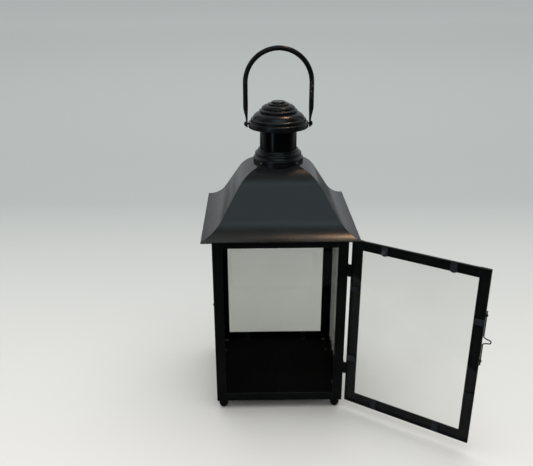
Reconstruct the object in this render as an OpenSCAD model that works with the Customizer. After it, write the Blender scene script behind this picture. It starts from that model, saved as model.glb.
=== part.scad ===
// Glazed candle lantern: a square steel frame with three fixed panes, a glazed
// door, an ogee hipped roof, a chimney with a spun cap and a swinging handle.
// Origin: on the floor, under the middle of the body. The door is at the front, -Y.

/* [Body] */
// Width of the body over the corner posts
body_w = 210; // [180:1:260]
// Height of the posts
frame_h = 293.4; // [240:0.2:360]
// Height of the frame above the floor
foot_h = 16; // [16:1:24]
// Width of each face of the corner posts
post_w = 16; // [14:1:20]
// Height of the bottom and top rails
rail_h = 15; // [13:1:20]
// Thickness of the posts and rails
angle_t = 1.5; // [1.2:0.1:2]
// Thickness of the panes
glass_t = 2; // [2:0.1:2.2]

/* [Roof] */
// How far the eaves stand out past the body
eave_over = 15.75; // [14:0.25:25]
// Thickness of the roof sheets
roof_t = 1; // [0.8:0.1:1.2]
// Radius of the hollow curve above the eaves
eave_r = 55.8; // [52:0.2:60]
// Radius of the rounded shoulder under the collar
shoulder_r = 56; // [52:1:60]
// Slope of the straight stretch, in degrees
roof_slope = 59; // [57:0.5:60]

/* [Chimney] */
// Radius of the neck tube
neck_r = 29; // [27:0.5:30]
// Radius of the collar skirt
collar_r = 39.5; // [39.5:0.5:41]
// Radius of the cap over its brim
brim_r = 47; // [46:0.2:48]
// Length of the neck tube
neck_h = 52; // [48:1:54]

/* [Handle] */
// Diameter of the handle rod
rod_d = 7.5; // [6:0.5:7.5]
// Radius of the arch to the middle of the rod
arch_r = 50.95; // [50.5:0.05:54]
// Height of the middle of the arch above the pivots
arch_rise = 62.3; // [55:0.1:75]

/* [Door] */
// Width of the door bars
bar_w = 16.5; // [15:0.5:20]
// Depth of the door bars over their flange
bar_d = 5; // [5:0.5:6]
// How far the door stands open, in degrees
door_open = 145.4; // [0:0.1:180]

/* [Hidden] */

$fn = 64;
black = "#1c1d1e";
glass = "#dfe8e6";
bright = "#5a5c5e";
half = body_w / 2;
inside = half - angle_t;
frame_top = foot_h + frame_h;
flange_w = 12;

// Base plate and panes
plate_t = 1.2;
plate_z = foot_h + angle_t;
pane_gap = 0.1;
pane_bottom = plate_z + plate_t + 0.3;
pane_top = frame_top - angle_t - 1.8;
pane_x = inside - pane_gap - glass_t;
clip_t = 0.8;
clip_w = 10;
clip_foot = 8;
clip_h = 12;
clip_spread = 55;

// Feet
foot_at = half - 10.5;
ball_r = 7.6;
foot_flat_r = 3;
foot_neck_r = 4;
screw_r = 2;
screw_head_r = 4;

// Roof outline, worked inwards from the eave: hollow curve, straight, shoulder
eave_half = half + eave_over;
eave_plate_t = 0.8;
roof_z = frame_top + eave_plate_t;
eave_slope = 15.7;
straight_x = eave_half - eave_r * (sin(roof_slope) - sin(eave_slope));
straight_z = eave_r * (cos(eave_slope) - cos(roof_slope));
shoulder_x = 63;
shoulder_z = straight_z + (straight_x - shoulder_x) * tan(roof_slope);
shoulder_end = 4;
// Height of the outline where it ends, over the vent
roof_peak = shoulder_z + shoulder_r * (cos(shoulder_end) - cos(roof_slope));
// Upright thickness of a sheet at the eave
roof_lift = roof_t / cos(eave_slope);
roof_steps = 8;
vent_r = 26;

// Collar, neck and cap, upwards from the vent
neck_t = 1;
neck_z = roof_z + roof_peak + 3.2;
neck_top = neck_z + neck_h;
collar_t = 1;
skirt_low = neck_z - 11;
skirt_top = neck_z + 4.4;
collar_top = neck_z + 17;
collar_screw_z = neck_z - 1.4;
collar_screw_r = 1.2;
cap_t = 1.2;
cap_top = neck_z + 87.5;
cap_seat = cap_top - cap_t - 0.2;
strap_t = 1.5;
nut_h = 4;
stud_r = 2.5;
stud_hole_r = 2.6;
cap_h = 36.9;
brim_low = cap_top - cap_h;
rivet_r = 1.5;
pivot_z = brim_low + 4.7;

// Handle ends
rod_r = rod_d / 2;
end_t = 3;
end_r = 5.5;
end_in = brim_r + 0.9;

// Door, closed: its back plane stands just in front of the posts
door_w = body_w;
door_z = foot_h + 2;
door_h = frame_h - 2.9;
door_half = door_w / 2;
door_gap = 0.5;
door_back = -half - door_gap;
door_front = door_back - bar_d;
bar_t = 1.2;
door_top = door_z + door_h;
door_clip_x = door_w / 4;
door_clip_z = 62.5;
door_clip_reach = 15.9;
side_clip_reach = 13.8;
door_clip_tip_r = 7;

// Hinges
hinge_h = 20;
hinge_low = door_z + 62;
hinge_high = door_top - 52.5;
pin_x = half + 2.2;
pin_y = -half - 0.25;
barrel_r = 1.9;
pin_r = 0.9;
pin_bore_r = 0.95;
leaf_t = 1;
knuckle_h = 6.6;
knuckle_gap = 0.15;
leaf_back = 13;
frame_rivet_y = 8.5;
frame_rivet_z = 6;
door_rivet_x = 7;
hinge_rivet_r = 1.2;
hinge_rivet_hole_r = 1.25;
hinge_head_r = 2.2;
hinge_head_h = 1.1;

// Latch: a wire loop that turns about an upright line along the door's edge
wire_r = 0.9;
latch_x = -door_half - 1.35;
latch_y = door_back - bar_d / 2;
loop_z = door_z + 0.62 * door_h;
latch_bottom = loop_z - 40;
latch_top = loop_z + 46.5;
loop_root = 5.3;
loop_reach = 8.2;
loop_bulb = 2.8;
loop_bend = 100;
wire_end_r = 1.2;
eye_r = 2;
eye_h = 3;
eye_in = 6;
catch_y = latch_y + 5.8;

// ---- helpers ----

// Points along a circle from angle a to angle b
function arc(cx, cy, r, a, b, n) =
  [for (i = [0:n]) [cx + r * cos(a + (b - a) * i / n), cy + r * sin(a + (b - a) * i / n)]];

// Roof outline from the eave to the middle, pushed inwards by t
function roof_line(t) = concat(
  arc(eave_half + eave_r * sin(eave_slope), eave_r * cos(eave_slope), eave_r + t,
    270 - eave_slope, 270 - roof_slope, roof_steps),
  arc(shoulder_x - shoulder_r * sin(roof_slope), shoulder_z - shoulder_r * cos(roof_slope),
    shoulder_r - t, 90 - roof_slope, 90 - shoulder_end, roof_steps));

function reversed(list) = [for (i = [len(list) - 1:-1:0]) list[i]];

// Turns the door's pieces from closed to where the door stands
module hung() {
  translate([pin_x, pin_y, 0])
    rotate([0, 0, door_open])
      translate([-pin_x, -pin_y, 0])
        children();
}

// A rod from one point to another, with a bead a touch fatter than itself at each end
module rod(from, to, r) {
  v = to - from;
  bead_r = r + 0.03;
  translate(from)
    rotate([0, acos(v[2] / norm(v)), atan2(v[1], v[0])])
      cylinder(r = r, h = norm(v), $fn = 32);
  for (p = [from, to]) translate(p) sphere(r = bead_r, $fn = 32);
}

// A domed head that stands on z = 0
module dome(r, h) {
  ball = (r * r + h * h) / (2 * h);
  intersection() {
    translate([0, 0, h - ball]) sphere(r = ball);
    cylinder(r = r, h = h);
  }
}

// The roof outline and its mirror image, run along Y
module roof_ridge() {
  outline = concat(roof_line(0), [[0, roof_peak], [0, 0]]);
  for (s = [0, 1])
    mirror([s, 0, 0]) translate([0, eave_half, 0]) rotate([90, 0, 0])
      linear_extrude(2 * eave_half) polygon(outline);
}

// Leaves only what is clear of the roof's outer surface
module above_roof() {
  gap = 0.1;
  difference() {
    children();
    translate([0, 0, roof_z + roof_lift + gap]) intersection() {
      roof_ridge();
      rotate([0, 0, 90]) roof_ridge();
    }
  }
}

// ---- frame ----

module base_plate() {
  color(black) difference() {
    translate([-inside, -inside, plate_z]) cube([2 * inside, 2 * inside, plate_t]);
    for (x = [-1, 1], y = [-1, 1])
      translate([x * foot_at, y * foot_at, plate_z - 1]) cylinder(r = screw_r + 0.1, h = plate_t + 2);
  }
}

module post(sx, sy) {
  color(black)
    mirror([sx > 0 ? 0 : 1, 0, 0]) mirror([0, sy > 0 ? 0 : 1, 0])
      translate([half, half, foot_h]) difference() {
        translate([-post_w, -post_w, 0]) cube([post_w, post_w, frame_h]);
        translate([-post_w - 1, -post_w - 1, -1])
          cube([post_w + 1 - angle_t, post_w + 1 - angle_t, frame_h + 2]);
      }
}

// The front right post has the holes for the hinge rivets
module post_front_right() {
  color(black) difference() {
    post(1, -1);
    frame_rivet_places() translate([0, 0, -5]) cylinder(r = hinge_rivet_hole_r, h = 10);
  }
}

// Upright flange on the outside, flat flange at the bottom or the top
module rail(turn, top) {
  len = body_w - 2 * post_w;
  z = top ? frame_top - rail_h : foot_h;
  flange_z = top ? frame_top - angle_t : foot_h;
  color(black) rotate([0, 0, turn]) union() {
    translate([-len / 2, -half, z]) cube([len, angle_t, rail_h]);
    translate([-len / 2, -half, flange_z]) cube([len, flange_w, angle_t]);
  }
}

module pane_left() {
  color(glass) translate([-inside + pane_gap, -inside + 0.5, pane_bottom])
    cube([glass_t, 2 * inside - glass_t - 1, pane_top - pane_bottom]);
}

module pane_right() {
  mirror([1, 0, 0]) pane_left();
}

module pane_back() {
  wide = pane_x - 0.4;
  color(glass) translate([-wide, inside - pane_gap - glass_t, pane_bottom])
    cube([2 * wide, glass_t, pane_top - pane_bottom]);
}

// Bent tabs that hold a pane against the frame, for the back pane before turning
module pane_clips(turn) {
  y = pane_x - clip_t - 0.1;
  color(black) rotate([0, 0, turn])
    for (x = [-clip_spread, clip_spread]) translate([x - clip_w / 2, 0, 0]) {
      translate([0, y, plate_z + plate_t]) cube([clip_w, clip_t, clip_h]);
      translate([0, y - clip_foot, plate_z + plate_t]) cube([clip_w, clip_foot, clip_t]);
      translate([0, y, frame_top - angle_t - clip_h]) cube([clip_w, clip_t, clip_h]);
      translate([0, y - clip_foot, frame_top - angle_t - clip_t]) cube([clip_w, clip_foot, clip_t]);
    }
}

// Turned ball with a short neck and a flat to stand on
module foot(sx, sy) {
  low = asin(foot_flat_r / ball_r);
  high = asin(foot_neck_r / ball_r);
  centre = ball_r * cos(low);
  color(black) translate([sx * foot_at, sy * foot_at, 0]) difference() {
    rotate_extrude() polygon(concat([[0, 0]],
      arc(0, centre, ball_r, low - 90, 90 - high, 16),
      [[foot_neck_r, plate_z], [0, plate_z]]));
    translate([0, 0, plate_z - 12]) cylinder(r = screw_r + 0.05, h = 13);
  }
}

module foot_screws() {
  color(bright) for (x = [-1, 1], y = [-1, 1])
    translate([x * foot_at, y * foot_at, plate_z + plate_t]) {
      dome(screw_head_r, 2.2);
      translate([0, 0, -10]) cylinder(r = screw_r, h = 10.5);
    }
}

// ---- roof ----

module eave_plate() {
  opening = half - flange_w;
  color(black) translate([0, 0, frame_top]) difference() {
    translate([-eave_half, -eave_half, 0]) cube([2 * eave_half, 2 * eave_half, eave_plate_t]);
    translate([-opening, -opening, -1]) cube([2 * opening, 2 * opening, eave_plate_t + 2]);
  }
}

// One curved sheet between two hips, cut out round the vent
module roof_sheet(turn) {
  band = concat([[eave_half, 0]], [for (p = roof_line(0)) [p[0], p[1] + roof_lift]],
    reversed([for (p = roof_line(roof_t)) [p[0], max(p[1] + roof_lift, 0)]]));
  color(black) rotate([0, 0, turn]) translate([0, 0, roof_z]) difference() {
    intersection() {
      translate([-eave_half, 0, 0]) rotate([90, 0, 90]) mirror([1, 0, 0])
        linear_extrude(2 * eave_half) polygon(band);
      linear_extrude(2 * roof_peak) polygon([[0, 0], [-eave_half - 5, -eave_half - 5],
        [eave_half + 5, -eave_half - 5]]);
    }
    cylinder(r = vent_r, h = 2 * roof_peak);
  }
}

// ---- chimney ----

// Where the collar screws are, over the hips
module collar_screw_places() {
  for (a = [45:90:315])
    rotate([0, 0, a]) translate([collar_r, 0, collar_screw_z]) rotate([0, 90, 0]) children();
}

module collar_screw_holes() {
  collar_screw_places() translate([0, 0, -4]) cylinder(r = collar_screw_r + 0.05, h = 8);
}

// Flanged ring that carries the neck and takes the collar screws
module neck_flange() {
  t = 1.2;
  out = collar_r - collar_t - 0.1;
  in = neck_r + 0.1;
  top = neck_z + 2.2;
  color(black) difference() {
    above_roof() rotate_extrude() polygon([[out, skirt_low], [out, top], [in, top],
      [in, top - t], [out - t, top - t], [out - t, skirt_low]]);
    collar_screw_holes();
  }
}

// Spun collar: an upright skirt under two rounded steps
module collar() {
  shoulder = 1.6;
  ring_low = 2.9;
  ring_top = 2.1;
  outer = concat([[collar_r, skirt_low]],
    arc(collar_r - shoulder, skirt_top - shoulder, shoulder, 0, 80, 5),
    arc(34, skirt_top + 4.8, ring_low, -35, 100, 8),
    arc(30.2, collar_top - ring_top, ring_top, -30, 90, 8),
    [[neck_r + 0.1, collar_top]]);
  inner = [[neck_r + 0.1, collar_top - 4.5], [32, skirt_top + 3.1],
    [collar_r - collar_t, skirt_top - 2], [collar_r - collar_t, skirt_low]];
  color(black) difference() {
    above_roof() rotate_extrude($fn = 96) polygon(concat(outer, inner));
    collar_screw_holes();
  }
}

module collar_screws() {
  color(bright) collar_screw_places() union() {
    translate([0, 0, 0.05]) dome(2, 1.4);
    translate([0, 0, -5]) cylinder(r = collar_screw_r, h = 5.3);
  }
}

module neck_tube() {
  color(black) rotate_extrude($fn = 96)
    translate([neck_r - neck_t, neck_z]) square([neck_t, neck_h]);
}

// Bent strap that carries the cap from inside the neck
module cap_strap() {
  wide = 12;
  flat = 9;
  leg = sqrt(pow(neck_r - neck_t - 0.05, 2) - pow(wide / 2, 2));
  knee = neck_top + 7;
  low = neck_top - 15;
  outer = [[flat, cap_seat], [leg, knee], [leg, low]];
  inner = [[leg - strap_t, low], [leg - strap_t, knee - 0.5], [flat - 0.9, cap_seat - strap_t]];
  side = concat(outer, inner);
  color(black) difference() {
    translate([0, wide / 2, 0]) rotate([90, 0, 0]) linear_extrude(wide)
      polygon(concat(side, [for (p = reversed(side)) [-p[0], p[1]]]));
    translate([0, 0, cap_seat - 10]) cylinder(r = stud_hole_r, h = 20);
  }
}

// Spun cap: a stepped crown, a bowl, a ring and a turned-down brim
module cap_shell() {
  bowl = [28.5, brim_low + 9.8];
  bowl_r = 13.05;
  lip_r = 2;
  lip_z = brim_low + 6.3;
  crown_outer = concat([[stud_hole_r, cap_top], [12.6, cap_top]],
    arc(15.6, brim_low + 35.2, 1.2, 100, -10, 6),
    arc(24.3, brim_low + 29.6, 1.8, 60, -20, 6),
    arc(28, brim_low + 25, 2, 50, -40, 6));
  bowl_outer = concat(arc(bowl[0], bowl[1], bowl_r, 80, 24, 8),
    [[40.6, brim_low + 14.4]],
    arc(41.2, brim_low + 11.6, 2.2, 75, -30, 6),
    [[43.4, brim_low + 8.8]]);
  brim_outer = concat(arc(brim_r - lip_r, lip_z, lip_r, 85, 0, 6), [[brim_r, brim_low]]);
  brim_inner = [[brim_r - cap_t, brim_low], [brim_r - cap_t, lip_z - 0.1],
    [brim_r - lip_r, lip_z + 0.8], [42.2, brim_low + 7.7], [41.6, brim_low + 9.5],
    [41.9, brim_low + 11.5], [40.6, brim_low + 12.8], [39.3, brim_low + 13.6]];
  bowl_inner = arc(bowl[0], bowl[1], bowl_r - cap_t, 22, 78, 8);
  crown_inner = [[28.3, brim_low + 21.9], [28, brim_low + 24.3], [27.3, brim_low + 25.9],
    [24.5, brim_low + 28.5], [23.9, brim_low + 30.1], [15.2, brim_low + 34],
    [12.6, cap_top - cap_t], [stud_hole_r, cap_top - cap_t]];
  outline = concat(crown_outer, bowl_outer, brim_outer, brim_inner, bowl_inner, crown_inner);
  color(black) difference() {
    rotate_extrude($fn = 96) polygon(outline);
    translate([-60, 0, pivot_z]) rotate([0, 90, 0]) cylinder(r = rivet_r + 0.05, h = 120, $fn = 32);
  }
}

// Flat button on the stud that holds the cap down
module cap_button() {
  wide = 11.4;
  edge = 2.2;
  low = cap_top + 0.02;
  stud_low = cap_top - 9;
  color(black) rotate_extrude() polygon(concat([[0, low + 0.4 + edge]],
    arc(wide - edge, low + 0.4, edge, 90, 0, 6),
    [[wide, low], [stud_r, low], [stud_r, stud_low], [0, stud_low]]));
}

module cap_nut() {
  color(bright) translate([0, 0, cap_seat - strap_t - nut_h]) difference() {
    cylinder(r = 4.6, h = nut_h, $fn = 6);
    translate([0, 0, -1]) cylinder(r = stud_r + 0.02, h = nut_h + 2);
  }
}

// ---- handle ----

module handle_rivets() {
  inner_head = brim_r - cap_t - 0.2;
  color(black) for (s = [0, 1]) mirror([s, 0, 0]) translate([0, 0, pivot_z]) rotate([0, 90, 0]) {
    translate([0, 0, inner_head]) cylinder(r = rivet_r, h = end_in + end_t + 0.4 - inner_head);
    translate([0, 0, inner_head - 1]) cylinder(r = 2, h = 1);
    translate([0, 0, end_in + end_t + 0.15]) dome(3.8, 2.7);
  }
}

// Rod bent to an arch, its ends flattened and drilled
module handle() {
  taper_top = pivot_z + 26;
  taper_low = pivot_z + 6;
  arch_z = pivot_z + arch_rise;
  color(black) {
    translate([0, 0, arch_z]) rotate([90, 0, 0]) rotate_extrude(angle = 180)
      translate([arch_r, 0]) circle(r = rod_r, $fn = 32);
    for (s = [0, 1]) mirror([s, 0, 0]) {
      translate([arch_r, 0, taper_top]) cylinder(r = rod_r, h = arch_z - taper_top, $fn = 32);
      hull() {
        translate([arch_r, 0, taper_top - 0.01]) cylinder(r = rod_r, h = 0.02, $fn = 32);
        translate([end_in, -end_r, taper_low]) cube([end_t, 2 * end_r, 0.02]);
      }
      difference() {
        union() {
          translate([end_in, -end_r, pivot_z]) cube([end_t, 2 * end_r, taper_low - pivot_z]);
          translate([end_in, 0, pivot_z]) rotate([0, 90, 0]) cylinder(r = end_r, h = end_t);
        }
        translate([end_in - 1, 0, pivot_z]) rotate([0, 90, 0])
          cylinder(r = rivet_r + 0.08, h = end_t + 2);
      }
    }
  }
}

// ---- hinges ----

// Where the rivets go through the frame leaves, their axes turned outwards
module frame_rivet_places() {
  for (z = [hinge_low, hinge_high], dz = [-frame_rivet_z, frame_rivet_z])
    translate([half, -half + frame_rivet_y, z + dz]) rotate([0, 90, 0]) children();
}

// Where the rivets go through the door leaves, their axes turned outwards
module door_rivet_places() {
  for (z = [hinge_low, hinge_high])
    translate([half - door_rivet_x, door_front, z]) rotate([90, 0, 0]) children();
}

// Clears the other leaf's knuckles from a leaf
module knuckle_room(low, high) {
  translate([pin_x, pin_y, low]) cylinder(r = barrel_r + 0.25, h = high - low);
}

module barrel(low, high) {
  translate([pin_x, pin_y, low]) cylinder(r = barrel_r, h = high - low);
}

// Leaf on the side of the post, with the top and bottom knuckles
module frame_leaf(z) {
  mid = knuckle_h / 2;
  top = hinge_h / 2;
  color(black) translate([0, 0, z]) difference() {
    union() {
      difference() {
        translate([half, pin_y, -top]) cube([leaf_t, leaf_back + 0.25, hinge_h]);
        knuckle_room(-mid - knuckle_gap, mid + knuckle_gap);
      }
      barrel(mid + knuckle_gap, top);
      barrel(-top, -mid - knuckle_gap);
    }
    translate([pin_x, pin_y, -top - 1]) cylinder(r = pin_bore_r, h = hinge_h + 2);
    for (dz = [-frame_rivet_z, frame_rivet_z]) translate([half - 1, -half + frame_rivet_y, dz])
      rotate([0, 90, 0]) cylinder(r = hinge_rivet_hole_r, h = 4);
  }
}

// Leaf that wraps the edge of the door, with the middle knuckle
module door_leaf(z) {
  mid = knuckle_h / 2;
  top = hinge_h / 2;
  color(black) hung() translate([0, 0, z]) difference() {
    union() {
      difference() {
        translate([half, door_front - leaf_t, -top]) cube([leaf_t, pin_y - door_front + leaf_t, hinge_h]);
        knuckle_room(mid, top + 1);
        knuckle_room(-top - 1, -mid);
      }
      translate([half - 12, door_front - leaf_t, -top]) cube([12.5, leaf_t, hinge_h]);
      barrel(-mid, mid);
    }
    translate([pin_x, pin_y, -top - 1]) cylinder(r = pin_bore_r, h = hinge_h + 2);
    translate([half - door_rivet_x, door_front - 2, 0]) rotate([-90, 0, 0])
      cylinder(r = hinge_rivet_hole_r, h = 4);
  }
}

module hinge_pin(z) {
  head = 0.6;
  color(black) translate([pin_x, pin_y, z]) {
    cylinder(r = pin_r, h = hinge_h + 0.2, center = true);
    for (s = [0, 1]) mirror([0, 0, s]) translate([0, 0, hinge_h / 2 + 0.1]) dome(barrel_r - 0.3, head);
  }
}

// Rivet through a sheet of thickness t and a leaf, its inner end flush
module hinge_rivet(t) {
  translate([0, 0, leaf_t]) dome(hinge_head_r, hinge_head_h);
  translate([0, 0, -t]) cylinder(r = hinge_rivet_r, h = t + leaf_t + 0.1);
}

module hinge_frame_rivets() {
  color(black) frame_rivet_places() hinge_rivet(angle_t);
}

module hinge_door_rivets() {
  color(black) hung() door_rivet_places() hinge_rivet(bar_t);
}

// ---- door ----

// Full-height bar: a face on the outside and a flange along the outer edge
module door_stile(side) {
  color(black) hung() mirror([side > 0 ? 0 : 1, 0, 0]) difference() {
    union() {
      translate([door_half - bar_w, door_front, door_z]) cube([bar_w, bar_t, door_h]);
      translate([door_half - bar_t, door_front, door_z]) cube([bar_t, bar_d, door_h]);
    }
    if (side > 0) door_rivet_places() translate([0, 0, -4]) cylinder(r = hinge_rivet_hole_r, h = 8);
  }
}

// Short bar between the stiles, its flange running on to the corners
module door_rail(top) {
  face_z = top ? door_top - bar_w : door_z;
  flange_z = top ? door_top - bar_t : door_z;
  color(black) hung() union() {
    translate([-door_half + bar_w, door_front, face_z]) cube([door_w - 2 * bar_w, bar_t, bar_w]);
    translate([-door_half + bar_t, door_front + bar_t, flange_z])
      cube([door_w - 2 * bar_t, bar_d - bar_t, bar_t]);
  }
}

module door_glass() {
  edge = bar_t + 0.2;
  color(glass) hung() translate([-door_half + edge, door_front + bar_t + 0.05, door_z + edge])
    cube([door_w - 2 * edge, glass_t, door_h - 2 * edge]);
}

// Tab with a round tip, from the flange over the edge of the glass
module door_clip(reach) {
  side = acos(clip_w / 2 / door_clip_tip_r);
  linear_extrude(clip_t) polygon(concat([[-clip_w / 2, 0], [clip_w / 2, 0]],
    arc(0, reach - door_clip_tip_r, door_clip_tip_r, side, 180 - side, 8)));
}

// Clips laid on the back of the glass, two from each bar
module door_clips() {
  y = door_front + bar_t + glass_t + 0.15;
  mid_z = door_z + door_h / 2;
  color(black) hung() {
    for (x = [-door_clip_x, door_clip_x]) {
      translate([x, y + clip_t, door_z + bar_t]) rotate([90, 0, 0]) door_clip(door_clip_reach);
      translate([x, y, door_top - bar_t]) rotate([-90, 0, 0]) door_clip(door_clip_reach);
    }
    for (z = [-door_clip_z, door_clip_z], s = [0, 1])
      mirror([s, 0, 0]) translate([door_half - bar_t, y + clip_t, mid_z + z])
        rotate([90, 0, 0]) rotate([0, 0, 90]) door_clip(side_clip_reach);
  }
}

// ---- latch ----

// Two small staples on the door's edge
module latch_eyes() {
  color(black) hung() for (z = [latch_bottom + eye_in, latch_top - eye_in]) difference() {
    translate([latch_x, latch_y, z]) cylinder(r = eye_r, h = eye_h, center = true);
    translate([latch_x, latch_y, z]) cylinder(r = wire_r + 0.08, h = eye_h + 2, center = true);
    translate([-door_half, latch_y - 5, z - 5]) cube(10);
  }
}

// Upright wire with its loop standing out from the edge of the door
module latch_wire() {
  arc_x = -loop_reach - loop_bulb * cos(loop_bend);
  arc_z = loop_bulb * sin(loop_bend);
  up = latch_top - loop_z;
  down = latch_bottom - loop_z;
  color(black) hung() translate([latch_x, latch_y, loop_z]) {
    rod([0, 0, loop_root], [0, 0, up], wire_r);
    rod([0, 0, -loop_root], [0, 0, down], wire_r);
    for (s = [-1, 1]) rod([0, 0, s * loop_root], [arc_x, 0, s * arc_z], wire_r);
    translate([-loop_reach, 0, 0]) rotate([90, 0, 0]) rotate([0, 0, 180 - loop_bend])
      rotate_extrude(angle = 2 * loop_bend) translate([loop_bulb, 0]) circle(r = wire_r, $fn = 24);
    for (z = [up, down]) translate([0, 0, z]) sphere(r = wire_end_r, $fn = 32);
  }
}

// Low stud on the post that the loop drops over
module catch_stud() {
  color(black) translate([-half, catch_y, loop_z]) rotate([0, -90, 0]) dome(1.8, 1.3);
}

base_plate();
post(-1, -1);  // post_front_left
post_front_right();
post(-1, 1);  // post_back_left
post(1, 1);  // post_back_right
rail(0, false);  // rail_bottom_front
rail(180, false);  // rail_bottom_back
rail(270, false);  // rail_bottom_left
rail(90, false);  // rail_bottom_right
rail(0, true);  // rail_top_front
rail(180, true);  // rail_top_back
rail(270, true);  // rail_top_left
rail(90, true);  // rail_top_right
pane_left();
pane_right();
pane_back();
pane_clips(90);  // pane_clips_left
pane_clips(270);  // pane_clips_right
pane_clips(0);  // pane_clips_back
foot(-1, -1);  // foot_front_left
foot(1, -1);  // foot_front_right
foot(-1, 1);  // foot_back_left
foot(1, 1);  // foot_back_right
foot_screws();
eave_plate();
roof_sheet(0);  // roof_front
roof_sheet(180);  // roof_back
roof_sheet(270);  // roof_left
roof_sheet(90);  // roof_right
neck_flange();
collar();
collar_screws();
neck_tube();
cap_strap();
cap_shell();
cap_button();
cap_nut();
handle_rivets();
handle();
frame_leaf(hinge_high);  // hinge_upper_frame_leaf
frame_leaf(hinge_low);  // hinge_lower_frame_leaf
hinge_frame_rivets();
hinge_pin(hinge_high);  // hinge_upper_pin
hinge_pin(hinge_low);  // hinge_lower_pin
catch_stud();
door_rail(true);  // door_rail_top
door_rail(false);  // door_rail_bottom
door_stile(1);  // door_stile_hinge
door_stile(-1);  // door_stile_latch
door_glass();
door_clips();
door_leaf(hinge_high);  // hinge_upper_door_leaf
door_leaf(hinge_low);  // hinge_lower_door_leaf
hinge_door_rivets();
latch_eyes();
latch_wire();
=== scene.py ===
import math

import bmesh
import bpy
from mathutils import Matrix, Vector


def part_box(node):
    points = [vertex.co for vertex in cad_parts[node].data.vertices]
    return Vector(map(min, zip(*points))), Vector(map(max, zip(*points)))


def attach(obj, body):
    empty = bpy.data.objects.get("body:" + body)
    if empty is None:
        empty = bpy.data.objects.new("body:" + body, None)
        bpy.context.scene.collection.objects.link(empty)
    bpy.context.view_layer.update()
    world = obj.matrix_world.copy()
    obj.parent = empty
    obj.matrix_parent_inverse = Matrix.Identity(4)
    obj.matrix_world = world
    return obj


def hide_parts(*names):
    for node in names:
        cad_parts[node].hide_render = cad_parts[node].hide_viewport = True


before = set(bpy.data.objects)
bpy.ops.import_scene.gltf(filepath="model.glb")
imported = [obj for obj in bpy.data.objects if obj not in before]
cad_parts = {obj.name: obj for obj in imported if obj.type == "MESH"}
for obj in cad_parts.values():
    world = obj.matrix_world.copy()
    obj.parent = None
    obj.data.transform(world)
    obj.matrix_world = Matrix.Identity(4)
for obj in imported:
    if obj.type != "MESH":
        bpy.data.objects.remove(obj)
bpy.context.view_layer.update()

# The visual model of the candle lantern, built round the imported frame. Outlines
# are in millimetres and are scaled to metres as each mesh is made. +Z is up and
# the door is at the front, towards -Y.

MM = 0.001
DEG = math.pi / 180


def box_mm(node):
    low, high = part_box(node)
    return low / MM, high / MM


# ---- sizes taken from the frame ----

HALF = box_mm("post_front_right")[1].x
FOOT_H = box_mm("post_front_right")[0].z
FRAME_TOP = box_mm("post_front_right")[1].z
FLOOR_Z = box_mm("base_plate")[1].z
EAVE_HALF = box_mm("eave_plate")[1].x
ROOF_Z = box_mm("eave_plate")[1].z
COLLAR_TOP = box_mm("collar")[1].z
NECK_R = box_mm("neck_tube")[1].x
NECK_LOW, NECK_TOP = box_mm("neck_tube")[0].z, box_mm("neck_tube")[1].z
BRIM_R = box_mm("cap_shell")[1].x
BRIM_LOW, CAP_TOP = box_mm("cap_shell")[0].z, box_mm("cap_shell")[1].z
PIVOT_Z = (box_mm("handle_rivets")[0].z + box_mm("handle_rivets")[1].z) / 2
HANDLE_TOP = box_mm("handle")[1].z
DOOR_LOW, DOOR_TOP = box_mm("door_stile_latch")[0].z, box_mm("door_stile_latch")[1].z

POST_W = 16
ANGLE_T = 1.5
RAIL_H = 15
FLANGE_W = 12
ROOF_T = 1.0
EAVE_SLOPE = 15.7
ROOF_SLOPE = 59
HOLLOW_R = 55.8
SHOULDER_R = 56
SHOULDER_X = 63
SHOULDER_END = 4
VENT_R = 26
# The sheets turn from square to round between these half widths, on the way up to the vent
SQUARE_ABOVE = 44
ROUND_BELOW = 24
COLLAR_R = 39.5
SKIRT_TOP = NECK_LOW + 4.4
DOOR_HALF = HALF
DOOR_FRONT = -HALF - 5.5
DOOR_BACK = -HALF - 0.5
BAR_W = 16.5
BAR_T = 1.2
PIN = Vector((HALF + 2.2, -HALF - 0.25, 0))
DOOR_OPEN = 145.4
HANDLE_GAP = 0.9
HANDLE_FLAT = 3.0
FRAME_EDGE = 0.28
SIDES = (("front", 0), ("right", 90), ("back", 180), ("left", 270))
CORNERS = (("front_left", -1, -1), ("front_right", 1, -1), ("back_left", -1, 1), ("back_right", 1, 1))

# The door's pieces are drawn closed and turned about the hinge pin
HUNG = (Matrix.Translation(PIN) @ Matrix.Rotation(DOOR_OPEN * DEG, 4, "Z")
        @ Matrix.Translation(-PIN))


# ---- materials ----

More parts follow.
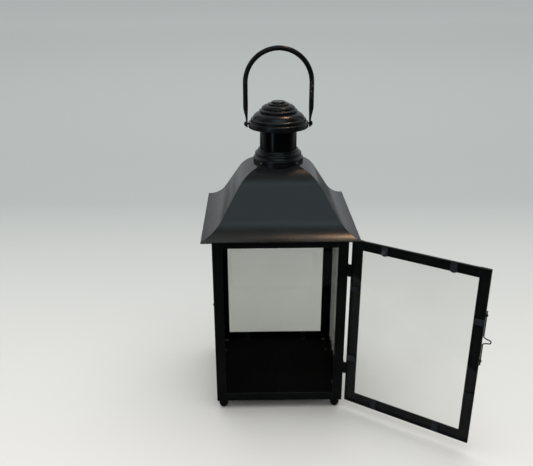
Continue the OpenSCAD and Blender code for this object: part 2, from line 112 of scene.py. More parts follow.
class Nodes:
    """Short names for the shader nodes that the materials are made of."""

    def __init__(self, name):
        self.mat = bpy.data.materials.new(name)
        self.mat.use_nodes = True
        self.tree = self.mat.node_tree
        self.shader = self.tree.nodes["Principled BSDF"]
        self.out = self.tree.nodes["Material Output"]
        coords = self.add("ShaderNodeTexCoord")
        self.place = coords.outputs["Object"]
        self.facing = coords.outputs["Normal"]

    def add(self, kind, **values):
        node = self.tree.nodes.new(kind)
        for key, value in values.items():
            setattr(node, key, value)
        return node

    def link(self, source, target):
        self.tree.links.new(source, target)

    def stretched(self, scale):
        node = self.add("ShaderNodeMapping")
        node.inputs["Scale"].default_value = scale
        self.link(self.place, node.inputs["Vector"])
        return node.outputs[0]

    def noise(self, scale, detail, rough=0.5, vector=None):
        node = self.add("ShaderNodeTexNoise")
        node.inputs["Scale"].default_value = scale
        node.inputs["Detail"].default_value = detail
        node.inputs["Roughness"].default_value = rough
        self.link(vector or self.place, node.inputs["Vector"])
        return node.outputs["Fac"]

    def span(self, source, low, high, to_low=0.0, to_high=1.0):
        node = self.add("ShaderNodeMapRange")
        ends = {"From Min": low, "From Max": high, "To Min": to_low, "To Max": to_high}
        for key, value in ends.items():
            node.inputs[key].default_value = value
        self.link(source, node.inputs["Value"])
        return node.outputs[0]

    def calc(self, what, a, b):
        node = self.add("ShaderNodeMath", operation=what)
        for socket, value in zip(node.inputs, (a, b)):
            if isinstance(value, (int, float)):
                socket.default_value = value
            else:
                self.link(value, socket)
        return node.outputs[0]

    def mix(self, factor, a, b):
        node = self.add("ShaderNodeMix", data_type="RGBA")
        self.link(factor, node.inputs["Factor"])
        for socket, value in ((node.inputs["A"], a), (node.inputs["B"], b)):
            if isinstance(value, tuple):
                socket.default_value = (*value, 1)
            else:
                self.link(value, socket)
        return node.outputs["Result"]

    def bump(self, height, distance, strength=1.0, under=None):
        node = self.add("ShaderNodeBump")
        node.inputs["Distance"].default_value = distance
        node.inputs["Strength"].default_value = strength
        self.link(height, node.inputs["Height"])
        if under:
            self.link(under, node.inputs["Normal"])
        return node.outputs[0]


def black_paint(name, dark, light, rough, specular, wear=0.0, dents=0.0, grain=1.0, cloudy=0.05,
                waves=0.0):
    """Satin powder coat: a fine pebbled skin, cloudy gloss, some dust on top and chips where it's
    worn. dents and waves are depths in metres of the soft hollows in pressed sheet."""
    n = Nodes(name)
    clouds = n.noise(11, 4, 0.6)
    colour = n.mix(n.span(clouds, 0.35, 0.65), dark, light)
    up = n.add("ShaderNodeSeparateXYZ")
    n.link(n.facing, up.inputs[0])
    specks = n.span(n.noise(160, 5, 0.7), 0.45, 0.8)
    dust = n.calc("MULTIPLY", n.span(up.outputs["Z"], 0.4, 1.0, 0, 0.1), specks)
    colour = n.mix(dust, colour, (0.05, 0.048, 0.045))
    gloss = n.span(n.noise(23, 3, 0.5), 0.3, 0.7, rough - cloudy, rough + cloudy)
    if wear:
        chips = n.noise(330, 4, 0.7)
        patches = n.noise(24, 2)
        worn = n.calc("MULTIPLY", n.span(chips, 0.56, 0.62), n.span(patches, 0.6 - wear, 0.72))
        colour = n.mix(worn, colour, (0.16, 0.155, 0.15))
        gloss = n.calc("SUBTRACT", gloss, n.calc("MULTIPLY", worn, 0.1))
    n.link(colour, n.shader.inputs["Base Color"])
    n.link(gloss, n.shader.inputs["Roughness"])
    n.shader.inputs["Specular IOR Level"].default_value = specular
    skin = n.bump(n.noise(950, 3, 0.55), 0.00006 * grain)
    if dents:
        skin = n.bump(n.noise(9, 0, 0.3), dents, 1.0, skin)
    if waves:
        skin = n.bump(n.noise(1, 2, 0.5, n.stretched((3, 3, 26))), waves, 1.0, skin)
    n.link(skin, n.shader.inputs["Normal"])
    return n.mat


def clear_glass(name, tint):
    """Sheet glass with faint haze and smears. It lets light straight through and mirrors a little
    at its faces."""
    n = Nodes(name)
    clear = n.add("ShaderNodeBsdfTransparent")
    haze = n.span(n.noise(5, 3, 0.6), 0.35, 0.65)
    n.link(n.mix(haze, tuple(v * 0.96 for v in tint), tint), clear.inputs["Color"])
    mirror = n.add("ShaderNodeBsdfGlossy")
    mirror.inputs["Color"].default_value = (1, 1, 1, 1)
    smears = n.noise(30, 5, 0.7, n.stretched((1, 1, 0.35)))
    n.link(n.span(smears, 0.45, 0.8, 0.01, 0.12), mirror.inputs["Roughness"])
    wave = n.bump(n.noise(6, 1), 0.0004)
    n.link(wave, mirror.inputs["Normal"])
    slant = n.add("ShaderNodeLayerWeight")
    slant.inputs["Blend"].default_value = 0.5
    grazing = n.calc("POWER", slant.outputs["Facing"], 5)
    share = n.calc("ADD", n.calc("MULTIPLY", grazing, 0.9), 0.035)
    both = n.add("ShaderNodeMixShader")
    n.link(share, both.inputs[0])
    n.link(clear.outputs[0], both.inputs[1])
    n.link(mirror.outputs[0], both.inputs[2])
    n.link(both.outputs[0], n.out.inputs["Surface"])
    n.tree.nodes.remove(n.shader)
    return n.mat


def zinc_steel(name, dark, light, rough, metallic):
    """Plated screw steel, brushed by the driver and a little stained."""
    n = Nodes(name)
    n.link(n.mix(n.span(n.noise(420, 4), 0.35, 0.65), dark, light), n.shader.inputs["Base Color"])
    n.shader.inputs["Metallic"].default_value = metallic
    n.link(n.span(n.noise(900, 3), 0.3, 0.7, rough - 0.08, rough + 0.1), n.shader.inputs["Roughness"])
    n.link(n.bump(n.noise(1500, 2), 0.00004), n.shader.inputs["Normal"])
    return n.mat


PAINT = black_paint("black_steel", (0.0022, 0.0026, 0.003), (0.0042, 0.0047, 0.0052), 0.36, 0.22)
FLOOR_PAINT = black_paint("black_steel_floor", (0.0012, 0.0013, 0.0014), (0.003, 0.003, 0.003),
                          0.62, 0.02)
# Lighter paint for the rounded edges: edge wear, and a painted highlight along every edge
PAINT_EDGE_WEAR_AND_HIGHLIGHT = black_paint("black_steel_edge_wear_and_highlight", (0.005, 0.0055, 0.006), (0.011, 0.011, 0.011),
                         0.3, 0.35, wear=0.1)
ROOF_PAINT = black_paint("black_steel_roof", (0.0078, 0.0092, 0.0098), (0.0095, 0.011, 0.0116),
                         0.25, 0.62, dents=0.00012, grain=0.2, cloudy=0.03, waves=0.002)
CAP_PAINT = black_paint("black_steel_cap", (0.0022, 0.003, 0.0034), (0.0036, 0.0044, 0.0048),
                        0.28, 0.62, grain=0.12, cloudy=0.03)
# The door's glass tabs are painted a lighter blue-grey: a painted reflection of bluish light from above
# and to the left
CLIP_PAINT_PAINTED_REFLECTION = black_paint("black_steel_clip_painted_reflection", (0.010, 0.014, 0.019), (0.016, 0.021, 0.028),
                         0.4, 0.5, wear=0.03)
TAB_PAINT = black_paint("black_steel_tab", (0.003, 0.0034, 0.004), (0.006, 0.0066, 0.0072), 0.4, 0.3)
WIRE_PAINT = black_paint("black_steel_wire", (0.003, 0.0032, 0.0035), (0.006, 0.006, 0.0065),
                         0.3, 0.35, wear=0.04)
NECK_PAINT = black_paint("black_steel_neck", (0.0006, 0.0007, 0.0008), (0.001, 0.0012, 0.0013),
                         0.2, 0.3, grain=0.03, cloudy=0.02)
GLASS = clear_glass("clear_glass", (0.98, 0.985, 0.98))
# The side and back panes are tinted darker: partly dust, partly painted shade for the shaded backdrop
# seen through them
DUSTY_GLASS_PAINTED_SHADE = clear_glass("dusty_glass_painted_shade", (0.74, 0.75, 0.725))
SCREW = zinc_steel("dark_screws", (0.1, 0.096, 0.09), (0.17, 0.165, 0.155), 0.42, 0.7)


# ---- outlines ----

def arc(cx, cy, r, a, b, n):
    """Points on a circle from angle a to angle b, in degrees."""
    turns = [(a + (b - a) * i / n) * DEG for i in range(n + 1)]
    return [(cx + r * math.cos(turn), cy + r * math.sin(turn)) for turn in turns]


def rounded(corners):
    """An outline from (x, y, radius) corners, each radius as an arc that meets both sides."""
    steps = 6
    points = []
    count = len(corners)
    for i, (x, y, r) in enumerate(corners):
        here = Vector((x, y))
        if r <= 0:
            points.append((x, y))
            continue
        before = (Vector(corners[i - 1][:2]) - here).normalized()
        after = (Vector(corners[(i + 1) % count][:2]) - here).normalized()
        half_turn = before.angle(after) / 2
        run = r / math.tan(half_turn)
        centre = here + (before + after).normalized() * (r / math.sin(half_turn))
        start, end = here + before * run - centre, here + after * run - centre
        turn = start.angle_signed(end)
        for k in range(steps + 1):
            points.append(tuple(centre + Matrix.Rotation(-turn * k / steps, 2) @ start))
    return points


# ---- mesh building ----

def made(name, mesh_data, paints, body, nodes, place=None, sharp=32, bevel=0.0,
         levels=2):
    """Turns a bmesh in millimetres into a piece that rides on a body and stands for CAD nodes."""
    same_point = 0.0005
    bmesh.ops.remove_doubles(mesh_data, verts=mesh_data.verts, dist=same_point)
    bmesh.ops.recalc_face_normals(mesh_data, faces=mesh_data.faces)
    mesh = bpy.data.meshes.new(name)
    mesh_data.transform(Matrix.Scale(MM, 4) @ (place or Matrix()))
    mesh_data.to_mesh(mesh)
    mesh_data.free()
    for paint in paints:
        mesh.materials.append(paint)
    mesh.shade_smooth()
    mesh.set_sharp_from_angle(angle=sharp * DEG)
    piece = bpy.data.objects.new(name, mesh)
    bpy.context.scene.collection.objects.link(piece)
    if bevel:
        soften(piece, bevel, levels, paints)
    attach(piece, body)
    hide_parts(*nodes)
    return piece


def soften(piece, width, levels, paints):
    """Rounds a piece's edges. The rounded faces take the second paint, where there is one: lighter worn
    edges that also carry a painted edge highlight.
    """
    bevel = piece.modifiers.new("edges", "BEVEL")
    bevel.width = width * MM
    bevel.segments = levels
    bevel.limit_method = "ANGLE"
    bevel.angle_limit = 32 * DEG
    bevel.miter_outer = "MITER_ARC"
    bevel.harden_normals = True
    bevel.material = 1 if len(paints) > 1 else -1


def ring_faces(data, rings, closed=False):
    """Joins rings of vertices, each as long as the next, or a single vertex at a pole."""
    pairs = list(zip(rings, rings[1:]))
    if closed:
        pairs.append((rings[-1], rings[0]))
    for a, b in pairs:
        count = max(len(a), len(b))
        for i in range(count):
            j = (i + 1) % count
            corners = [a[i % len(a)], a[j % len(a)], b[j % len(b)], b[i % len(b)]]
            unique = list(dict.fromkeys(corners))
            if len(unique) >= 3:
                data.faces.new(unique)


def lathe(data, outline, steps, place=None, closed=False, shape=None):
    """Turns an (r, z) outline about the Z axis. shape may move each point."""
    place = place or Matrix()
    rings = []
    for r, z in outline:
        if r < 1e-6:
            rings.append([data.verts.new(place @ Vector((0, 0, z)))])
            continue
        ring = []
        for i in range(steps):
            a = 2 * math.pi * i / steps
            point = Vector((r * math.cos(a), r * math.sin(a), z))
            ring.append(data.verts.new(place @ (shape(point) if shape else point)))
        rings.append(ring)
    ring_faces(data, rings, closed)


def prism(data, outline, low, high, place=None):
    """Runs an (x, y) outline along Z."""
    place = place or Matrix()
    bottom = [data.verts.new(place @ Vector((x, y, low))) for x, y in outline]
    top = [data.verts.new(place @ Vector((x, y, high))) for x, y in outline]
    data.faces.new(bottom)
    data.faces.new(top)
    for i in range(len(outline)):
        j = (i + 1) % len(outline)
        data.faces.new((bottom[i], bottom[j], top[j], top[i]))


def smooth_path(points, per_step):
    """A Catmull-Rom curve through the points."""
    out = []
    for i in range(len(points) - 1):
        p0, p1 = points[max(i - 1, 0)], points[i]
        p2, p3 = points[i + 1], points[min(i + 2, len(points) - 1)]
        for k in range(per_step):
            t = k / per_step
            out.append(0.5 * (2 * p1 + (p2 - p0) * t + (2 * p0 - 5 * p1 + 4 * p2 - p3) * t ** 2
                              + (3 * p1 - p0 - 3 * p2 + p3) * t ** 3))
    out.append(points[-1])
    return out


def sweep(data, path, section, side, sides):
    """Runs a section along a path that lies in a plane. side is the plane's normal. section(i, u)
    gives the point at angle u of ring i as (across, along side)."""
    rings = []
    for i, point in enumerate(path):
        ahead = path[min(i + 1, len(path) - 1)] - path[max(i - 1, 0)]
        across = ahead.cross(side).normalized()
        ring = []
        for k in range(sides):
            a, b = section(i, 2 * math.pi * k / sides)
            ring.append(data.verts.new(point + across * a + side * b))
        rings.append(ring)
    ring_faces(data, rings)
    data.faces.new(rings[0])
    data.faces.new(rings[-1])


def carve(piece, cutter_data):
    """Cuts a bmesh in millimetres out of a piece for good."""
    bmesh.ops.recalc_face_normals(cutter_data, faces=cutter_data.faces)
    mesh = bpy.data.meshes.new("cutter")
    cutter_data.transform(Matrix.Scale(MM, 4))
    cutter_data.to_mesh(mesh)
    cutter_data.free()
    cutter = bpy.data.objects.new("cutter", mesh)
    bpy.context.scene.collection.objects.link(cutter)
    cut = piece.modifiers.new("cut", "BOOLEAN")
    cut.object = cutter
    cut.solver = "EXACT"
    piece.modifiers.move(len(piece.modifiers) - 1, 0)
    for other in piece.modifiers[1:]:
        other.show_viewport = False
    bpy.context.view_layer.update()
    graph = bpy.context.evaluated_depsgraph_get()
    done = bpy.data.meshes.new_from_object(piece.evaluated_get(graph))
    piece.modifiers.remove(cut)
    for other in piece.modifiers:
        other.show_viewport = True
    piece.data = done
    bpy.data.objects.remove(cutter)


def keep(node, paints, bevel=0.0, levels=2):
    """Gives a carried-over CAD node its material and soft edges."""
    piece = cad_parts[node]
    piece.data.materials.clear()
    for paint in paints:
        piece.data.materials.append(paint)
    if bevel:
        soften(piece, bevel, levels, paints)


TWO = (PAINT, PAINT_EDGE_WEAR_AND_HIGHLIGHT)


# ---- frame ----

def angle_outline(width_x, width_y):
    """An L outline with its bend at the origin and its legs towards -X and -Y."""
    t = ANGLE_T
    outer_bend, inner_bend = 1.6, 0.5
    return rounded([(0, 0, outer_bend), (0, -width_y, 0), (-t, -width_y, 0), (-t, -t, inner_bend),
                    (-width_x, -t, 0), (-width_x, 0, 0)])


def build_posts():
    outline = angle_outline(POST_W, POST_W)
    for name, sx, sy in CORNERS:
        data = bmesh.new()
        corner = Matrix.Translation((sx * HALF, sy * HALF, 0)) @ Matrix.Diagonal((sx, sy, 1, 1))
        prism(data, outline, FOOT_H, FRAME_TOP, corner)
        made("corner_post_" + name, data, TWO, "lantern", ["post_" + name],
             bevel=FRAME_EDGE)


def build_rails():
    length = HALF - POST_W
    outline = angle_outline(RAIL_H, FLANGE_W)
    # local x is height, local y is depth, and the run is along X
    lay = Matrix(((0, 0, 1, 0), (0, -1, 0, -HALF), (1, 0, 0, 0), (0, 0, 0, 1)))
    for name, turn in SIDES:
        spin = Matrix.Rotation(turn * DEG, 4, "Z")
        for level, z, flip in (("top", FRAME_TOP, 1), ("bottom", FOOT_H, -1)):
            data = bmesh.new()
            height = Matrix.Translation((0, 0, z)) @ Matrix.Diagonal((1, 1, flip, 1))
            prism(data, outline, -length, length, spin @ height @ lay)
            made("frame_rail_%s_%s" % (level, name), data, TWO, "lantern",
                 ["rail_%s_%s" % (level, name)], bevel=FRAME_EDGE)


def build_feet():
    """A ball with a small flat to stand on, and a neck that widens under the base."""
    ball, flat_r, neck = 7.6, 3.0, 4.0
    low, high = math.asin(flat_r / ball) / DEG, math.asin(neck / ball) / DEG
    centre = ball * math.cos(low * DEG)
    outline = [(0, 0)] + arc(0, centre, ball, low - 90, 90 - high, 28)
    top = FOOT_H - 0.02
    outline += [(neck, top - 1.18), (neck + 0.9, top - 0.33), (neck + 1.1, top), (0, top)]
    for name, _, _ in CORNERS:
        low_corner, high_corner = box_mm("foot_" + name)
        middle = (low_corner + high_corner) / 2
        data = bmesh.new()
        lathe(data, outline, 72, Matrix.Translation((middle.x, middle.y, 0)))
        made("ball_foot_" + name, data, TWO, "lantern", ["foot_" + name])


def cross_cutter(size, wide, depth, place):
    """The recess of a cross-head screw, its mouth at z = 0."""
    data = bmesh.new()
    cross = []
    for sx, sy in ((-1, -1), (1, -1), (1, 1), (-1, 1)):
        corner = [(sx * size, sy * wide), (sx * wide, sy * wide), (sx * wide, sy * size)]
        cross += corner if sx == sy else reversed(corner)
    clear_of_head = 4
    prism(data, cross, -depth, clear_of_head, place)
    return data


def dome_outline(r, h, n, lip):
    """A domed head on z = 0 with a small upright edge."""
    ball = (r * r + (h - lip) ** 2) / (2 * (h - lip))
    full = math.asin(min(1, r / ball)) / DEG
    return [(0, 0), (r, 0)] + arc(0, h - ball, ball, 90 - full, 90, n)


def build_foot_screws():
    data = bmesh.new()
    head_r = 4
    high = box_mm("foot_screws")[1]
    head_h = high.z - FLOOR_Z
    reach = high.x - head_r
    corners = ((-1, -1), (-1, 1), (1, -1), (1, 1))
    for sx, sy in corners:
        place = Matrix.Translation((sx * reach, sy * reach, FLOOR_Z))
        lathe(data, dome_outline(head_r, head_h, 10, 0.25), 48, place)
    piece = made("foot_screw_heads", data, (SCREW,), "lantern", ["foot_screws"])
    for number, (sx, sy) in enumerate(corners):
        spot = (Matrix.Translation((sx * reach, sy * reach, FLOOR_Z + head_h))
                @ Matrix.Rotation((20 + 37 * number) * DEG, 4, "Z"))
        carve(piece, cross_cutter(1.9, 0.38, 1.3, spot))


# ---- roof ----

def roof_curve(t):
    """Outline of a sheet from the eave to the vent as (half width, height), pushed inwards by t."""
    fine = 22
    eave_in = HOLLOW_R * (math.sin(ROOF_SLOPE * DEG) - math.sin(EAVE_SLOPE * DEG))
    straight_x = EAVE_HALF - eave_in
    straight_z = HOLLOW_R * (math.cos(EAVE_SLOPE * DEG) - math.cos(ROOF_SLOPE * DEG))
    shoulder_z = straight_z + (straight_x - SHOULDER_X) * math.tan(ROOF_SLOPE * DEG)
    lift = ROOF_Z + ROOF_T / math.cos(EAVE_SLOPE * DEG)
    hollow = arc(EAVE_HALF + HOLLOW_R * math.sin(EAVE_SLOPE * DEG),
                 HOLLOW_R * math.cos(EAVE_SLOPE * DEG), HOLLOW_R + t, 270 - EAVE_SLOPE,
                 270 - ROOF_SLOPE, fine)
    dome = arc(SHOULDER_X - SHOULDER_R * math.sin(ROOF_SLOPE * DEG),
               shoulder_z - SHOULDER_R * math.cos(ROOF_SLOPE * DEG), SHOULDER_R - t, 90 - ROOF_SLOPE,
               90 - SHOULDER_END, fine)
    straight = [tuple(Vector(hollow[-1]).lerp(Vector(dome[0]), k / 6)) for k in range(1, 6)]
    return [(x, z + lift) for x, z in hollow + straight + dome]


OUTER_ROOF = roof_curve(0)


def roof_height(half_width):
    """Height of the roof's outer surface at a distance from the middle."""
    line = OUTER_ROOF
    for (x1, z1), (x2, z2) in zip(line, line[1:]):
        if x2 <= half_width <= x1:
            return z1 + (z2 - z1) * (x1 - half_width) / (x1 - x2)
    return line[-1][1] if half_width < line[-1][0] else line[0][1]


def build_roof():
    """Four curved sheets that meet at the hips, each cut round at the vent."""
    across = 28
    gap = 0.04
    for name, turn in SIDES:
        data = bmesh.new()
        spin = Matrix.Rotation(turn * DEG, 4, "Z")
        sheets = []
        for t in (0, ROOF_T):
            rows = []
            for x, z in roof_curve(t):
                blend = (SQUARE_ABOVE - x) / (SQUARE_ABOVE - ROUND_BELOW)
                blend = max(0.0, min(1.0, blend))
                row = []
                for k in range(across + 1):
                    v = 2 * k / across - 1
                    square = Vector((v * (x - gap), -x))
                    angle = v * math.pi / 4
                    round_r = VENT_R + x - ROUND_BELOW
                    circle = Vector((math.sin(angle), -math.cos(angle))) * round_r
                    spot = square.lerp(circle, blend)
                    if blend > 0:
                        spot.x = max(-abs(spot.y) + gap, min(abs(spot.y) - gap, spot.x))
                    height = roof_height(-spot.y)
                    level = z if blend == 0 else height - t * 1.05
                    level = max(level, ROOF_Z + 0.01)
                    row.append(data.verts.new(spin @ Vector((spot.x, spot.y, level))))
                rows.append(row)
                if blend >= 1:
                    break
            sheets.append(rows)
        outer, inner = sheets
        last = min(len(outer), len(inner))
        outer, inner = outer[:last], inner[:last]
        for rows in (outer, inner):
            for a, b in zip(rows, rows[1:]):
                for k in range(across):
                    data.faces.new((a[k], a[k + 1], b[k + 1], b[k]))
        for a, b in ((outer[0], inner[0]), (outer[-1], inner[-1])):
            for k in range(across):
                data.faces.new((a[k], a[k + 1], b[k + 1], b[k]))
        for k in (0, across):
            for i in range(last - 1):
                data.faces.new((outer[i][k], outer[i + 1][k], inner[i + 1][k], inner[i][k]))
        made("roof_sheet_" + name, data, (ROOF_PAINT, PAINT_EDGE_WEAR_AND_HIGHLIGHT), "lantern", ["roof_" + name],
             bevel=0.5, levels=3)


# ---- chimney ----

def build_collar():
    """A skirt and two rounded rings, as one closed outline from the skirt's foot up and back down."""
    low = NECK_LOW - 11
    shoulder, lower_ring, upper_ring = 1.6, 2.9, 2.1
    bore = NECK_R + 0.1
    skirt_bore = COLLAR_R - 1
    outer = [(COLLAR_R, low), (COLLAR_R, low + 3), (COLLAR_R, SKIRT_TOP - 3)]
    outer += arc(COLLAR_R - shoulder, SKIRT_TOP - shoulder, shoulder, 0, 80, 8)
    outer += arc(34, SKIRT_TOP + 4.8, lower_ring, -35, 100, 16)
    outer += arc(30.2, COLLAR_TOP - upper_ring, upper_ring, -30, 90, 12)
    inner = [(bore, COLLAR_TOP - 0.05), (bore, COLLAR_TOP - 4.5), (32, SKIRT_TOP + 3.1),
             (skirt_bore, SKIRT_TOP - 2), (skirt_bore, low + 3), (skirt_bore, low)]
    fitted_top = SKIRT_TOP - 4

    def sit(point):
        """Fits the skirt's lower edge to the roof under it."""
        roof = roof_height(max(abs(point.x), abs(point.y))) + 0.15
        if point.z < fitted_top:
            share = (point.z - low) / (fitted_top - low)
            point.z = roof + (fitted_top - roof) * max(0.0, share)
        return point

    data = bmesh.new()
    lathe(data, outer + inner, 160, closed=True, shape=sit)
    made("chimney_collar", data, (CAP_PAINT, PAINT_EDGE_WEAR_AND_HIGHLIGHT), "lantern", ["collar"], sharp=50)


def build_collar_screws():
    low, high = box_mm("collar_screws")
    z = (low.z + high.z) / 2
    head_r, head_h = 2, 1.35
    data = bmesh.new()
    spots = []
    for a in (45, 135, 225, 315):
        spot = (Matrix.Rotation(a * DEG, 4, "Z") @ Matrix.Translation((COLLAR_R - 0.05, 0, z))
                @ Matrix.Rotation(90 * DEG, 4, "Y"))
        spots.append(spot)
        lathe(data, dome_outline(head_r, head_h, 8, 0.2), 40, spot)
    piece = made("collar_screw_heads", data, (SCREW,), "lantern", ["collar_screws"])
    for number, spot in enumerate(spots):
        turned = (spot @ Matrix.Translation((0, 0, head_h + 0.05))
                  @ Matrix.Rotation((10 + 31 * number) * DEG, 4, "Z"))
        carve(piece, cross_cutter(1.05, 0.2, 0.8, turned))


def build_neck():
    """A plain tube with a rounded top rim."""
    r, t = NECK_R, 1.0
    middle, rim = NECK_LOW + 20, NECK_TOP - t / 2
    outline = [(r, NECK_LOW), (r, middle), (r, rim)] + arc(r - t / 2, rim, t / 2, 0, 180, 8)
    outline += [(r - t, rim), (r - t, middle), (r - t, NECK_LOW)]
    data = bmesh.new()
    lathe(data, outline, 144, closed=True)
    made("chimney_neck", data, (NECK_PAINT, PAINT_EDGE_WEAR_AND_HIGHLIGHT), "lantern", ["neck_tube"], sharp=50)


def cap_outline():
    """The spun cap as a closed outline: stepped crown, bowl, ring and brim, then back along the
    inside."""
    t, hole, edge = 1.2, 2.6, 0.45
    low = BRIM_LOW
    bowl, bowl_r = (28.5, low + 9.8), 13.05
    lip_r, lip_z = 2.0, low + 6.3
    # crown: flat top, bead, step, two beads
    outer = [(hole, CAP_TOP), (11.8, CAP_TOP)] + arc(11.9, CAP_TOP - 0.6, 0.6, 90, 50, 3)
    outer += arc(15.6, low + 35.2, 1.2, 118, -42, 12)
    outer += arc(18.4, low + 25.6, 8.6, 84, 38, 10)
    outer += arc(24.3, low + 29.6, 1.8, 62, -35, 12)
    outer += arc(28.0, low + 25, 2.0, 72, -48, 14)
    # bowl, ring and brim
    outer += arc(*bowl, bowl_r, 82, 24, 24)
    outer += [(40.55, low + 14.45)] + arc(41.2, low + 11.6, 2.2, 82, -36, 14) + [(43.3, low + 8.75)]
    outer += arc(BRIM_R - lip_r, lip_z, lip_r, 92, 0, 12)
    outer += arc(BRIM_R - edge, low + edge, edge, 0, -90, 4)
    inner = arc(BRIM_R - t + edge, low + edge, edge, -90, -180, 4)
    inner += [(BRIM_R - t, lip_z - 0.1), (BRIM_R - lip_r, lip_z + 0.8), (42.2, low + 7.7),
              (41.6, low + 9.5), (41.9, low + 11.5), (40.6, low + 12.8), (39.3, low + 13.6)]
    inner += arc(*bowl, bowl_r - t, 22, 78, 12)
    inner += [(28.3, low + 21.9), (28, low + 24.3), (27.3, low + 25.9), (24.5, low + 28.5),
              (23.9, low + 30.1), (15.2, low + 34), (12.6, CAP_TOP - t)]
    return outer + inner + [(hole, CAP_TOP - t)]


def build_cap():
    """The spun cap, and the button whose shank runs down through it."""
    data = bmesh.new()
    lathe(data, cap_outline(), 176, closed=True)
    made("chimney_cap", data, (CAP_PAINT, PAINT_EDGE_WEAR_AND_HIGHLIGHT), "lantern", ["cap_shell"], sharp=50)
    wide, edge, rim = 11.4, 2.2, 0.4
    shank_r, shank_low = 2.5, CAP_TOP - 9
    low = CAP_TOP + 0.02
    button = [(0, low + 0.35 + edge), (wide - edge - 1.2, low + rim + edge)]
    button += arc(wide - edge, low + rim, edge, 90, 0, 12)
    button += [(wide, low), (shank_r, low), (shank_r, shank_low), (0, shank_low)]
    data = bmesh.new()
    lathe(data, button, 96)
    made("cap_top_button", data, (CAP_PAINT, PAINT_EDGE_WEAR_AND_HIGHLIGHT), "lantern", ["cap_button"], sharp=40)


# ---- handle ----

def eased(share):
    """A share from 0 to 1 with a soft start and a soft end."""
    return share * share * (3 - 2 * share)


def build_handle():
    """One rod bent to an arch. Each leg is beaten flat at its end, rounded off and drilled."""
    rod = 3.75
    arch_r = box_mm("handle")[1].x - rod
    end_x = BRIM_R + HANDLE_GAP + HANDLE_FLAT / 2
    arch_z = HANDLE_TOP - rod - arch_r
    tip_r, flat_half = 5.5, HANDLE_FLAT / 2
    taper_low, taper_top = PIVOT_Z + 6, PIVOT_Z + 26
    tip_steps, taper_steps, leg_steps, arch_steps = 12, 14, 5, 64
    # each entry is a height, half the width and half the thickness
    leg = []
    for k in range(tip_steps + 1):
        a = (90 - 90 * k / tip_steps) * DEG
        leg.append((PIVOT_Z - tip_r * math.sin(a), max(0.35, tip_r * math.cos(a)), flat_half))
    leg += [(PIVOT_Z + 3, tip_r, flat_half), (taper_low, tip_r, flat_half)]
    for k in range(1, taper_steps + 1):
        share = k / taper_steps
        leg.append((taper_low + (taper_top - taper_low) * share, tip_r + (rod - tip_r) * eased(share),
                    flat_half + (rod - flat_half) * eased(share)))
    straight = [taper_top + (arch_z - taper_top) * k / leg_steps for k in range(1, leg_steps + 1)]
    leg += [(z, rod, rod) for z in straight]

    def leg_x(z):
        share = max(0.0, min(1.0, (z - taper_low) / (taper_top - taper_low)))
        return end_x + (arch_r - end_x) * eased(share)

    path = [Vector((leg_x(z), 0, z)) for z, _, _ in leg]
    sizes = [(wide, thick) for _, wide, thick in leg]
    for k in range(1, arch_steps):
        a = math.pi * k / arch_steps
        path.append(Vector((arch_r * math.cos(a), 0, arch_z + arch_r * math.sin(a))))
        sizes.append((rod, rod))
    path += [Vector((-leg_x(z), 0, z)) for z, _, _ in reversed(leg)]
    sizes += [(wide, thick) for _, wide, thick in reversed(leg)]

    def section(i, u):
        """Round on the rod, squarer where it's beaten flat."""
        wide, thick = sizes[i]
        flat = 1 - min(1.0, thick / rod)
        power = 2 / (2 + 3.2 * flat)
        c, s = math.cos(u), math.sin(u)
        return (math.copysign(abs(c) ** power, c) * thick, math.copysign(abs(s) ** power, s) * wide)

    data = bmesh.new()
    sweep(data, path, section, Vector((0, 1, 0)), 32)
    piece = made("carrying_handle", data, (WIRE_PAINT, PAINT_EDGE_WEAR_AND_HIGHLIGHT), "handle", ["handle"], sharp=45)
    hole_r, past_legs = 1.58, 70
    drill = [(0, -past_legs), (hole_r, -past_legs), (hole_r, past_legs), (0, past_legs)]
    data = bmesh.new()
    across = Matrix.Translation((0, 0, PIVOT_Z)) @ Matrix.Rotation(90 * DEG, 4, "Y")
    lathe(data, drill, 32, across)
    carve(piece, data)
    piece.data.shade_smooth()
    piece.data.set_sharp_from_angle(angle=45 * DEG)


def build_handle_rivets():
    """A domed head outside each leg, and a flat head inside the brim, on one shank."""
    head_x = BRIM_R + HANDLE_GAP + HANDLE_FLAT + 0.15
    inner_x = BRIM_R - 1.45 - head_x
    high = box_mm("handle_rivets")[1].x - head_x
    shank_r, inner_r, head_r, dome_r, edge = 1.5, 2, 3.3, 3.8, 0.55
    ball_r = 3.1
    wider, taller = dome_r / ball_r, (high - 0.05) / (ball_r + edge)
    outline = [(0, inner_x - 0.9), (inner_r, inner_x - 0.9), (inner_r, inner_x),
               (shank_r, inner_x + 0.05), (shank_r, 0), (head_r, 0)]
    outline += [(r * wider, z * taller) for r, z in arc(0, edge, ball_r, 0, 90, 12)[:-1]]
    outline += [(0, high)]
    data = bmesh.new()
    for s in (1, -1):
        place = Matrix.Translation((s * head_x, 0, PIVOT_Z)) @ Matrix.Rotation(s * 90 * DEG, 4, "Y")
        lathe(data, outline, 56, place)
    made("handle_rivet_heads", data, (WIRE_PAINT, PAINT_EDGE_WEAR_AND_HIGHLIGHT), "lantern", ["handle_rivets"], sharp=40)


# ---- door ----

